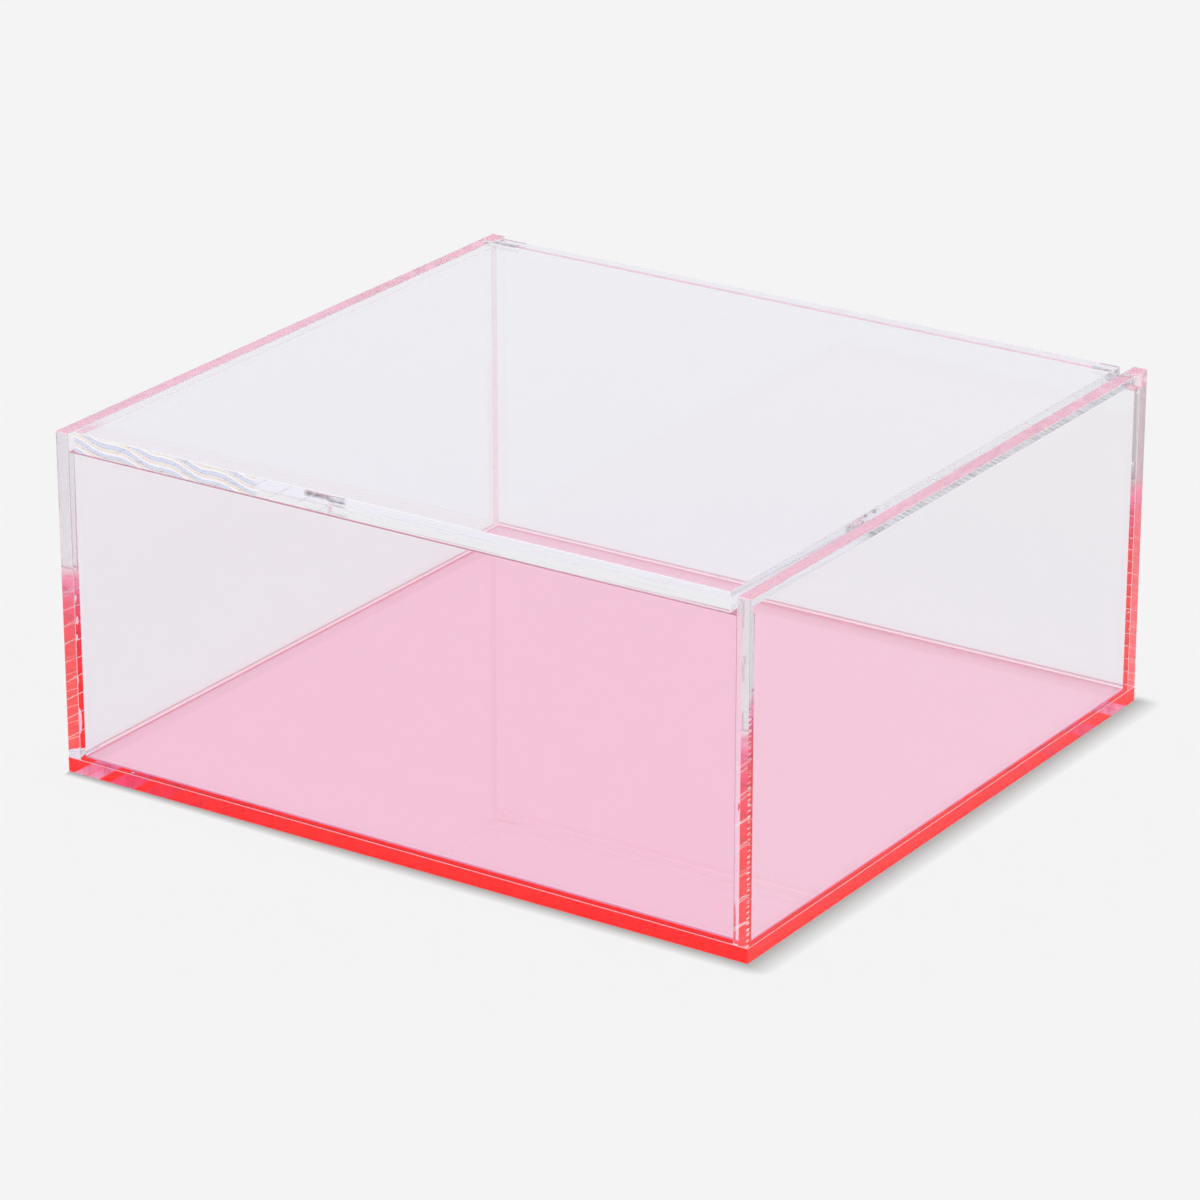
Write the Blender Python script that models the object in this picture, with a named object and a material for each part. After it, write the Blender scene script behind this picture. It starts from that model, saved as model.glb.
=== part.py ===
"""Clear acrylic box for cosmetics, with a fluorescent pink base and a hinged lid.

Metres, +Z up. +X is to the right and the front faces -Y. The origin is at the
middle of the base's underside. Two side walls, a front panel and a rear panel
are bonded onto the base. The lid lies between the side walls and turns on two
steel pins near its rear edge. The rear panel is notched between its two posts,
so that the lid's rear edge can swing down and the lid can fold back flat.
"""

import math

import bmesh
import bpy
from mathutils import Matrix, Vector

# The box up to its wall tops
WIDTH = 0.155
DEPTH = 0.145
HEIGHT = 0.070

# The sheets that the pieces are cut from
BASE_SHEET = 0.003
WALL_SHEET = 0.003
LID_SHEET = 0.004

# The glue line between two bonded pieces, and the chamfer scraped along each cut edge
GLUE_LINE = 0.0003
ARRIS = 0.0002

# How the lid lies: a little above the wall tops, over the front panel and between the walls
LID_RISE = 0.0006
LID_REST_GAP = 0.0004
LID_SIDE_CLEARANCE = 0.0014

# The hinge: the axis stands this far ahead of the lid's rear edge, at half its thickness
PIN_DIAMETER = 0.0015
PIN_EDGE_DISTANCE = 0.0016
PIN_CHAMFER = 0.0002
PIN_END_GAP = 0.0003
SEAT_CLEARANCE = 0.00005
RUNNING_CLEARANCE = 0.0001
WALL_SKIN = 0.001
LID_BORE_DEPTH = 0.005
CUT_OVERRUN = 0.0005

# The rear panel's notch: its inner corners are rounded by the cutter that made them
NOTCH_FILLET = 0.0005
FILLET_STEPS = 4
ROUND_SIDES = 24
SHARP_ANGLE = math.radians(30.0)

# Places that follow from the sizes above
WALL_FOOT = BASE_SHEET + GLUE_LINE
INNER_X = WIDTH / 2 - WALL_SHEET
REAR_FACE = DEPTH / 2
REAR_INNER_Y = REAR_FACE - WALL_SHEET
LID_TOP = HEIGHT + LID_RISE
LID_UNDERSIDE = LID_TOP - LID_SHEET
PANEL_TOP = LID_UNDERSIDE - LID_REST_GAP
HINGE_Y = REAR_INNER_Y - PIN_EDGE_DISTANCE
HINGE_Z = LID_UNDERSIDE + LID_SHEET / 2
LID_SIDE_X = INNER_X - LID_SIDE_CLEARANCE


def clear_scene():
    """Removes whatever the scene holds."""
    for item in list(bpy.data.objects):
        bpy.data.objects.remove(item, do_unlink=True)


def acrylic(name, colour):
    """Polished acrylic sheet of one colour."""
    material = bpy.data.materials.new(name)
    material.use_nodes = True
    shader = material.node_tree.nodes["Principled BSDF"]
    shader.inputs["Base Color"].default_value = colour
    shader.inputs["Metallic"].default_value = 0.0
    shader.inputs["Roughness"].default_value = 0.03
    shader.inputs["IOR"].default_value = 1.49
    shader.inputs["Transmission Weight"].default_value = 1.0
    return material


def steel(name):
    """Bright drawn wire, as the hinge pins are cut from."""
    material = bpy.data.materials.new(name)
    material.use_nodes = True
    shader = material.node_tree.nodes["Principled BSDF"]
    shader.inputs["Base Color"].default_value = (0.45, 0.42, 0.40, 1.0)
    shader.inputs["Metallic"].default_value = 1.0
    shader.inputs["Roughness"].default_value = 0.25
    return material


def new_piece(name, shape, material, location=(0.0, 0.0, 0.0)):
    """Turns a finished bmesh into a named object."""
    mesh = bpy.data.meshes.new(name)
    bmesh.ops.recalc_face_normals(shape, faces=shape.faces[:])
    shape.to_mesh(mesh)
    shape.free()
    if material:
        mesh.materials.append(material)
    piece = bpy.data.objects.new(name, mesh)
    piece.location = location
    bpy.context.scene.collection.objects.link(piece)
    return piece


def scrape_edges(piece):
    """The small chamfer along a cut sheet's edges."""
    arris = piece.modifiers.new("arris", "BEVEL")
    arris.width = ARRIS
    arris.segments = 1
    arris.limit_method = "ANGLE"
    arris.angle_limit = SHARP_ANGLE


def plate(name, low, high, material, origin=None):
    """A rectangular sheet between two corners, with its own origin at its middle or as given."""
    low, high = Vector(low), Vector(high)
    middle = (low + high) / 2
    origin = middle if origin is None else Vector(origin)
    shape = bmesh.new()
    bmesh.ops.create_cube(shape, size=1.0)
    bmesh.ops.scale(shape, vec=high - low, verts=shape.verts[:])
    bmesh.ops.translate(shape, vec=middle - origin, verts=shape.verts[:])
    piece = new_piece(name, shape, material, origin)
    scrape_edges(piece)
    return piece


def rod(name, radius, start_x, end_x, material=None, chamfer=0.0):
    """A round bar along X on the hinge axis, with its own origin on that axis."""
    length = abs(end_x - start_x)
    shape = bmesh.new()
    bmesh.ops.create_cone(
        shape,
        cap_ends=True,
        segments=ROUND_SIDES,
        radius1=radius,
        radius2=radius,
        depth=length,
        matrix=Matrix.Rotation(math.pi / 2, 4, "Y"),
    )
    if chamfer:
        rims = [edge for edge in shape.edges if edge.calc_face_angle() > SHARP_ANGLE]
        bmesh.ops.bevel(
            shape, geom=rims, offset=chamfer, segments=1, profile=0.5, affect="EDGES", material=-1
        )
    bar = new_piece(name, shape, material, ((start_x + end_x) / 2, HINGE_Y, HINGE_Z))
    bar.data.shade_smooth()
    bar.data.set_sharp_from_angle(angle=SHARP_ANGLE)
    return bar


def drill(piece, cutter):
    """Cuts a bore and keeps the cutter out of the model."""
    cutter.hide_render = True
    cutter.display_type = "WIRE"
    cut = piece.modifiers.new(cutter.name, "BOOLEAN")
    cut.operation = "DIFFERENCE"
    cut.solver = "EXACT"
    cut.object = cutter


def corner(x, z, toward_x, toward_z):
    """The points of a rounded inner corner at x, z, which opens toward the two given signs."""
    centre_x = x + toward_x * NOTCH_FILLET
    centre_z = z + toward_z * NOTCH_FILLET
    points = []
    for step in range(FILLET_STEPS + 1):
        angle = math.pi / 2 * step / FILLET_STEPS
        points.append(
            (centre_x - toward_x * NOTCH_FILLET * math.cos(angle),
             centre_z - toward_z * NOTCH_FILLET * math.sin(angle))
        )
    return points


def base_plate(material):
    """The pink plate that everything else stands on."""
    return plate(
        "base_plate",
        (-WIDTH / 2, -DEPTH / 2, 0.0),
        (WIDTH / 2, DEPTH / 2, BASE_SHEET),
        material,
    )


def side_wall(name, side, material):
    """A clear side wall, flush with the base, that ends at the rear panel."""
    edges = sorted((side * INNER_X, side * WIDTH / 2))
    wall = plate(
        name,
        (edges[0], -DEPTH / 2, WALL_FOOT),
        (edges[1], REAR_INNER_Y - GLUE_LINE, HEIGHT),
        material,
    )
    bore = rod(
        name + "_bore",
        PIN_DIAMETER / 2 + SEAT_CLEARANCE,
        side * (INNER_X - CUT_OVERRUN),
        side * (WIDTH / 2 - WALL_SKIN),
    )
    drill(wall, bore)
    return wall


def front_panel(material):
    """The clear front panel between the side walls, lowered so that the lid lies over it."""
    half = INNER_X - GLUE_LINE
    return plate(
        "front_panel",
        (-half, -DEPTH / 2, WALL_FOOT),
        (half, -DEPTH / 2 + WALL_SHEET, PANEL_TOP),
        material,
    )


def rear_panel(material):
    """The clear rear panel: full width, two posts to the wall tops and a notch between them."""
    right_half = [(WIDTH / 2, WALL_FOOT), (WIDTH / 2, HEIGHT), (INNER_X, HEIGHT)]
    right_half += corner(INNER_X, PANEL_TOP, -1, 1)
    outline = right_half + [(-x, z) for x, z in reversed(right_half)]
    shape = bmesh.new()
    verts = [shape.verts.new((x, REAR_INNER_Y - REAR_FACE, z)) for x, z in outline]
    face = shape.faces.new(verts)
    grown = bmesh.ops.extrude_face_region(shape, geom=[face])
    moved = [item for item in grown["geom"] if isinstance(item, bmesh.types.BMVert)]
    bmesh.ops.translate(shape, vec=(0.0, WALL_SHEET, 0.0), verts=moved)
    panel = new_piece("rear_panel", shape, material, (0.0, REAR_FACE, 0.0))
    scrape_edges(panel)
    return panel


def lid(material, pivot):
    """The clear lid, which has its origin on the hinge axis and a blind bore in each side."""
    cover = plate(
        "lid",
        (-LID_SIDE_X, -DEPTH / 2, LID_UNDERSIDE),
        (LID_SIDE_X, REAR_INNER_Y, LID_TOP),
        material,
        origin=(0.0, HINGE_Y, HINGE_Z),
    )
    for name, side in (("left", -1), ("right", 1)):
        bore = rod(
            "lid_bore_" + name,
            PIN_DIAMETER / 2 + RUNNING_CLEARANCE,
            side * (LID_SIDE_X + CUT_OVERRUN),
            side * (LID_SIDE_X - LID_BORE_DEPTH),
        )
        drill(cover, bore)
    cover.parent = pivot
    cover.location = (0.0, 0.0, 0.0)
    return cover


def hinge_pin(name, side, material):
    """A steel pin that is fixed in the side wall and carries the lid."""
    return rod(
        name,
        PIN_DIAMETER / 2,
        side * (WIDTH / 2 - WALL_SKIN - PIN_END_GAP),
        side * (LID_SIDE_X - LID_BORE_DEPTH + PIN_END_GAP),
        material,
        chamfer=PIN_CHAMFER,
    )


def hinge_pivot():
    """The empty on the hinge axis that the lid turns with."""
    pivot = bpy.data.objects.new("lid_pivot", None)
    pivot.location = (0.0, HINGE_Y, HINGE_Z)
    bpy.context.scene.collection.objects.link(pivot)
    return pivot


def main():
    """Builds the box with its lid closed."""
    clear_scene()
    clear = acrylic("clear_acrylic", (0.97, 0.97, 0.98, 1.0))
    pink = acrylic("pink_acrylic", (1.0, 0.50, 0.66, 1.0))
    wire = steel("pin_steel")
    base_plate(pink)
    side_wall("left_wall", -1, clear)
    side_wall("right_wall", 1, clear)
    front_panel(clear)
    rear_panel(clear)
    lid(clear, hinge_pivot())
    hinge_pin("left_hinge_pin", -1, wire)
    hinge_pin("right_hinge_pin", 1, wire)
    bpy.context.view_layer.update()


main()
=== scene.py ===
"""The looks of a clear acrylic box with a fluorescent pink base and a hinged lid.

Run as a script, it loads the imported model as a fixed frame, makes each sheet of
acrylic again with its scraped arrises, saw marks, drilled bores and solvent-welded
joints, and sets a pale studio round it.
"""

import math
from typing import NamedTuple

import bmesh
import bpy
from bpy.props import FloatProperty, FloatVectorProperty, PointerProperty
from mathutils import Matrix, Vector


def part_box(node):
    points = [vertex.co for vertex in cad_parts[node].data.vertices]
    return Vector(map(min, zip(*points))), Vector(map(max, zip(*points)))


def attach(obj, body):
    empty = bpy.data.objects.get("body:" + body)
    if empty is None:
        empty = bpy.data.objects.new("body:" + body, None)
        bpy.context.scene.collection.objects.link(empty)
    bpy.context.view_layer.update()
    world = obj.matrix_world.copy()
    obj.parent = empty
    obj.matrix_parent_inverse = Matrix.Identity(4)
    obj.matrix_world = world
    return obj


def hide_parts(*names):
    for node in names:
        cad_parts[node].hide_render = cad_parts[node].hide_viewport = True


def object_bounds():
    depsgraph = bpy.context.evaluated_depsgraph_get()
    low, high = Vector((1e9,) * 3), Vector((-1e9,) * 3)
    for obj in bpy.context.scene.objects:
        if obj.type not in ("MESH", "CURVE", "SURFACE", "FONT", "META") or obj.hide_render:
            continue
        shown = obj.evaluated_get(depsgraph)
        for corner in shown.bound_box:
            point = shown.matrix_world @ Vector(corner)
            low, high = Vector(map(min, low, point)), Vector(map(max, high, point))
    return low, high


bl_info = {
    "name": "Pink-base acrylic box",
    "version": (1, 0, 0),
    "blender": (4, 5, 0),
    "location": "3D View > Sidebar > Acrylic box",
    "description": "Builds the sheets, hinge pins and studio of a clear acrylic box",
    "category": "Object",
}

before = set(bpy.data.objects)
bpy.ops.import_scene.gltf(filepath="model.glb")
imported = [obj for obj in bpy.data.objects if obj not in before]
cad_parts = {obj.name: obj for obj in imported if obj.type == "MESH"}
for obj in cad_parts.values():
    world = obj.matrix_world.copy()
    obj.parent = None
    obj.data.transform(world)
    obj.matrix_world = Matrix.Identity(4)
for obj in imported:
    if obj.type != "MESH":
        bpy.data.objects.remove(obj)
cad_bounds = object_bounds()

AXES = (Vector((1, 0, 0)), Vector((0, 1, 0)), Vector((0, 0, 1)))
RIGHT = (1.0, 0.0, 0.0)
LEFT = (-1.0, 0.0, 0.0)
BACK = (0.0, 1.0, 0.0)
DOWN = (0.0, 0.0, -1.0)
WHITE = (1.0, 1.0, 1.0)

# The right wall's inner face, which the left wall's mirrors, and the top of the base
INNER_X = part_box("right_wall")[0].x
BASE_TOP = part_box("base_plate")[1].z

# How closely places, flat faces, square edges and the wide arris are told apart
HAIR = 0.0001
FLAT = 0.999
SHARP_ANGLE = math.radians(80.0)
ARRIS_FACING = 0.5

# The sides of each round bore
BORE_SIDES = 48

# The voids that the solvent left in the welds: the middle of each and its half sizes
VOIDS = (
    ((-0.0775, -0.0725, 0.0030), (0.0024, 0.0087, 0.0010)),
    ((-0.0745, -0.0722, 0.0112), (0.0010, 0.0012, 0.0026)),
    ((-0.0745, -0.0718, 0.0366), (0.0010, 0.0005, 0.0007)),
    ((-0.0745, -0.0714, 0.0319), (0.0010, 0.0006, 0.0009)),
    ((-0.0745, -0.0719, 0.0285), (0.0010, 0.0005, 0.0006)),
    ((0.0745, -0.0725, 0.0545), (0.0010, 0.0003, 0.0092)),
    ((0.0745, -0.0725, 0.0060), (0.0010, 0.0012, 0.0060)),
)

# The ragged rims of those voids, and the bubbles elsewhere in the welds
RAGGED_SCALE = 900.0
RAGGEDNESS = 0.35
BUBBLE_SCALE = 420.0
BUBBLE_LEVEL = 0.25

# Upper and lower heights between which a mark fades in downwards
SAW_LINES_FADE = (0.044, 0.038)
CHATTER_FADE = (0.052, 0.047)
STREAKS_FADE = (0.0684, 0.0681)
CEMENT_FADE = (0.00345, 0.00325)

# How a cutter's lines wander, in steps, and the strength of the faintest
WANDER_SCALE = 60.0
WANDER = 0.5
FAINTEST_LINE = 0.4

# The marks of single teeth between the saw lines: their pitch is a share of the saw's
TOOTH_PITCH_SHARE = 0.29
TOOTH_WIDTH = 0.00006
TOOTH_SLOPE = 0.003
TOOTH_STRENGTH = 0.3

# The shares of a saw's marks that show on the base's even cut edges
BASE_LINES_SHARE = 0.1
BASE_HEIGHT_SHARE = 0.15

# The white dashes down the wide arris, and the haze above them
CHATTER_DIRECTION = (0.8, 0.0, -1.0)
CHATTER_PITCH = 0.0011
CHATTER_SHARE = 0.35
CHATTER_WANDER_SCALE = 700.0
CHATTER_PATCH_SCALE = 350.0
CHATTER_PATCHES = (-0.25, 0.15)
WIDE_HAZE = 0.55

# The dark streaks on the lid's right side: where they fade in, and the strength between them
STREAKS_BACKWARDS = (-0.036, -0.026)
STREAKS_RIGHTWARDS = (0.0, 0.01)
STREAK_TEETH = 0.55
STREAK_GROUND = 0.25

# The swirls on the left part of the lid's front edge: their number and their sway per metre, and the
# painted highlights on their crests
MILLED_LEFTWARDS = (0.029, 0.031)
SWIRLS_PER_METRE = (85.0, 0.0, 500.0)
SWAY_PER_METRE = (540.0, 0.0, 0.0)
SWAY = 0.2
DRIFT_SCALE = 90.0
DRIFT = 0.5
PAINTED_CREST_SLOPE = -9.0
PAINTED_CREST_RISE = 1.6
CREST_SLOPE = -4.0
CREST_HEIGHT = 0.00002

# The long lines on the right part of that edge
LONG_LINES_RIGHTWARDS = (-0.0140, -0.0125)
LONG_LINES_STRETCH = (0.01, 0.01, 1.0)
LONG_LINES_SCALE = 1500.0
LONG_LINES_HEIGHT = 0.00002

# The painted light across each swirl, from its foot up: a dark grey foot, a painted blue-grey
# reflection, white painted highlights and an orange painted glint
SWIRL_PAINTED_LIGHT = (
    (0.00, (0.38, 0.39, 0.43)),
    (0.07, (0.72, 0.75, 0.84)),
    (0.31, (0.55, 0.65, 0.95)),
    (0.41, WHITE),
    (0.58, WHITE),
    (0.68, (1.00, 0.76, 0.54)),
    (0.90, (0.94, 0.93, 0.92)),
    (1.00, (0.38, 0.39, 0.43)),
)

# The patches where hands have dulled the polish
HANDLED_SCALE = 45.0
HANDLED_DETAIL = 4.0
HANDLED_PATCHES = (0.08, 0.30)

# The stains and the drawn grain of the hinge pins
STAINED_STEEL = (0.46, 0.42, 0.45)
BRIGHT_STEEL = (0.80, 0.78, 0.84)
STAIN_SCALE = 900.0
STAIN_PATCHES = (-0.12, 0.12)
GRAIN_SCALE = 4000.0
GRAIN_ROUGHNESS = 0.2
STEEL_ROUGHNESS = 0.3

# Half the floor's width, and the upward part of a ray between which the studio brightens
FLOOR_REACH = 4.0
THROUGH_RISE = (0.2, 0.4)
MIRRORED_RISE = (0.5, 0.9)
SENSOR_WIDTH = 36.0
CLIP_END = 20.0

# How often light may turn inside the sheets, and on the floor
SHEET_BOUNCES = 40
FLOOR_BOUNCES = 8

# The colour sockets of a Mix node
MIX_FACTOR = 0
MIX_FIRST = 6
MIX_SECOND = 7
MIX_RESULT = 2


class Cutter(NamedTuple):
    """One saw or mill: which way its steps go, and the pitch, width and slope of its marks."""

    direction: tuple
    pitch: float
    width: float = 0.0001
    slope: float = 0.012


LEFT_SAW = Cutter((-0.50, 1.0, 1.0), pitch=0.0034, width=0.00014)
RIGHT_SAW = Cutter((-0.85, 1.0, 1.0), pitch=0.0052, width=0.0005)
PANEL_SAW = Cutter((1.0, 0.5, 1.0), pitch=0.0038)
BASE_SAW = Cutter((1.0, 1.0, 0.5), pitch=0.0110)
LID_SAW = Cutter((0.0, 1.0, 2.1), pitch=0.0060, width=0.0015)
LID_TEETH = Cutter((0.0, 1.0, 2.1), pitch=0.0017, width=0.0007)


class Marks(NamedTuple):
    """What tools left on a sheet: lines and height, with painted highlights on pale crests, and where it
    is milled, in which tones of painted light.
    """

    lines: object
    height: object
    pale: object = 0.0
    milled: object = None
    tones: object = None


class SheetSettings(bpy.types.PropertyGroup):
    """Sizes of the cut sheets, their joints and the drilled bores."""

    arris: FloatProperty(
        name="Arris", description="Chamfer scraped along each free edge",
        default=0.00009, min=0.0, unit="LENGTH",
    )
    wide_arris: FloatProperty(
        name="Wide arris", description="Heavier chamfer down the right wall's front edge",
        default=0.00036, min=0.0, unit="LENGTH",
    )
    rest_gap: FloatProperty(
        name="Rest gap", description="Space between the closed lid and the front panel",
        default=0.0002, min=0.0, unit="LENGTH",
    )
    film: FloatProperty(
        name="Weld film", description="Space left between two welded sheets",
        default=0.00001, min=0.0, unit="LENGTH",
    )
    bore_play: FloatProperty(
        name="Bore play", description="Air between a pin and its bore, on the radius",
        default=0.0001, min=0.0, unit="LENGTH",
    )
    wall_skin: FloatProperty(
        name="Wall skin", description="Acrylic left between a blind bore and the outside",
        default=0.001, min=0.0, unit="LENGTH",
    )
    end_play: FloatProperty(
        name="End play", description="Space past the end of a pin in its blind bore",
        default=0.0003, min=0.0, unit="LENGTH",
    )


class AcrylicSettings(bpy.types.PropertyGroup):
    """Colours and finish of the acrylic."""

    clear_tint: FloatVectorProperty(
        name="Clear tint", description="What two faces of clear sheet let through",
        default=(0.960, 0.960, 0.976), subtype="COLOR", size=3, min=0.0, max=1.0,
    )
    clear_pass: FloatVectorProperty(
        name="Clear absorption colour", description="Colour that the clear sheet keeps",
        default=(0.25, 0.0, 0.25), subtype="COLOR", size=3, min=0.0, max=1.0,
    )
    clear_density: FloatProperty(
        name="Clear density", description="Absorption per metre of clear sheet",
        default=1.2, min=0.0,
    )
    purer: FloatProperty(
        name="Purer sheet", description="How many times less the lid and the rear panel absorb",
        default=6.0, min=1.0,
    )
    # The two edge tints below are painted light: pink that stands in for the base's light, which the
    # panels carry up to their cut edges; the front panel's is darker.
    front_edge_painted_pink: FloatVectorProperty(
        name="Front panel's edges", description="Tint of the front panel's cut edges",
        default=(0.60, 0.36, 0.46), subtype="COLOR", size=3, min=0.0, max=1.0,
    )
    rear_edge_painted_pink: FloatVectorProperty(
        name="Rear panel's edges", description="Tint of the rear panel's cut edges",
        default=(1.0, 0.76, 0.84), subtype="COLOR", size=3, min=0.0, max=1.0,
    )
    pink_pass: FloatVectorProperty(
        name="Pink absorption colour", description="Colour that the pink sheet keeps",
        default=(0.993, 0.025, 0.375), subtype="COLOR", size=3, min=0.0, max=1.0,
    )
    pink_density: FloatProperty(
        name="Pink density", description="Absorption per metre of pink sheet",
        default=80.0, min=0.0,
    )
    pink_arris: FloatVectorProperty(
        name="Pink arris", description="Tint of the scraped arrises of the pink sheet",
        default=(1.0, 0.72, 0.80), subtype="COLOR", size=3, min=0.0, max=1.0,
    )
    # The four settings below are painted light: an emission that stands in for the dye's fluorescence
    # and for the light that the sheet carries to its cut edges and out through its welds.
    painted_glow: FloatVectorProperty(
        name="Fluorescent glow", description="Light that the dye gives off",
        default=(1.0, 0.09, 0.08), subtype="COLOR", size=3, min=0.0, max=1.0,
    )
    painted_face_glow: FloatProperty(
        name="Face glow", description="Strength of the glow on the broad faces",
        default=0.012, min=0.0,
    )
    painted_edge_glow: FloatProperty(
        name="Edge glow", description="Strength that the cut edges add to the glow",
        default=0.05, min=0.0,
    )
    painted_weld_glow: FloatProperty(
        name="Weld glow", description="Strength of the glow that leaves through the welds",
        default=0.02, min=0.0,
    )
    cement: FloatVectorProperty(
        name="Cement bead", description="Tint of the thin bead along the foot of each wall",
        default=(0.60, 0.16, 0.32), subtype="COLOR", size=3, min=0.0, max=1.0,
    )
    streak: FloatVectorProperty(
        name="Lid streaks", description="Colour of the streaks on the lid's right side",
        default=(0.10, 0.10, 0.12), subtype="COLOR", size=3, min=0.0, max=1.0,
    )
    scraped_haze: FloatProperty(
        name="Scraped haze", description="Share of light that scraped arrises and saw lines scatter",
        default=0.7, min=0.0, max=1.0,
    )
    wall_frost: FloatProperty(
        name="Wall frost", description="Share of that haze on the side walls' cut edges",
        default=0.12, min=0.0, max=1.0,
    )
    rear_frost: FloatProperty(
        name="Rear frost", description="Share of that haze on the rear panel's cut edges",
        default=0.2, min=0.0, max=1.0,
    )
    polished: FloatProperty(
        name="Polished", description="Roughness of the clean broad faces",
        default=0.003, min=0.0, max=1.0,
    )
    handled: FloatProperty(
        name="Handled", description="Roughness that handling adds in patches",
        default=0.012, min=0.0, max=1.0,
    )
    sawn: FloatProperty(
        name="Sawn", description="Roughness that the saw adds to the cut edges",
        default=0.04, min=0.0, max=1.0,
    )
    rear_sawn: FloatProperty(
        name="Rear sawn", description="Roughness that the saw adds to the rear panel's edges",
        default=0.10, min=0.0, max=1.0,
    )
    drilled: FloatProperty(
        name="Drilled", description="Roughness that the drill adds to the bores",
        default=0.30, min=0.0, max=1.0,
    )
    refraction: FloatProperty(
        name="Refraction", description="Index of refraction of acrylic",
        default=1.49, min=1.0, max=2.0,
    )


class StageSettings(bpy.types.PropertyGroup):
    """Floor, surroundings and camera."""

    floor_colour: FloatVectorProperty(
        name="Floor", description="Colour of the pale floor",
        default=(0.90, 0.90, 0.90), subtype="COLOR", size=3, min=0.0, max=1.0,
    )
    floor_view: FloatVectorProperty(
        name="Seen floor", description="Even level at which the camera sees the open floor",
        default=(0.905, 0.905, 0.905), subtype="COLOR", size=3, min=0.0, max=1.0,
    )
    contact_colour: FloatVectorProperty(
        name="Contact shade", description="Level of the floor right beside the base",
        default=(0.37, 0.38, 0.37), subtype="COLOR", size=3, min=0.0, max=1.0,
    )
    evenness: FloatProperty(
        name="Evenness", description="Share of the even level in what the camera sees of the floor",
        default=0.85, min=0.0, max=1.0,
    )
    contact_reach: FloatVectorProperty(
        name="Contact reach", description="How far the contact shade spreads at the right and in front",
        default=(0.0056, 0.0034), size=2, min=0.0, unit="LENGTH",
    )
    left_narrowing: FloatProperty(
        name="Left narrowing", description="How many times narrower the shade is at the left side",
        default=30.0, min=1.0,
    )
    front_narrowing: FloatProperty(
        name="Front narrowing", description="How much faster the front shade fades at its left end",
        default=0.8, min=0.0,
    )
    mirrored_sky: FloatVectorProperty(
        name="Mirrored sky", description="Surroundings that the acrylic mirrors",
        default=(0.92, 0.915, 0.985), subtype="COLOR", size=3, min=0.0,
    )
    overhead: FloatProperty(
        name="Overhead", description="Level of the soft light seen through cut edges",
        default=1.25, min=0.0,
    )
    backdrop: FloatProperty(
        name="Backdrop", description="Level of the backdrop behind the floor",
        default=0.905, min=0.0,
    )
    air_film: FloatProperty(
        name="Air film", description="Thin layer of air between the base and the floor",
        default=0.0002, min=0.0, unit="LENGTH",
    )
    azimuth: FloatProperty(
        name="Azimuth", description="Camera's turn from the front towards the right",
        default=math.radians(33.61), subtype="ANGLE",
    )
    elevation: FloatProperty(
        name="Elevation", description="Camera's height above the horizon",
        default=math.radians(21.85), subtype="ANGLE",
    )
    distance: FloatProperty(
        name="Distance", description="From the camera to the point it looks at",
        default=1.0322, unit="LENGTH",
    )
    target: FloatVectorProperty(
        name="Target", description="Point that the camera looks at",
        default=(-0.0004, -0.0029, 0.0295), subtype="XYZ", size=3, unit="LENGTH",
    )
    lens: FloatProperty(
        name="Lens", description="Focal length in millimetres", default=159.5,
    )


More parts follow.
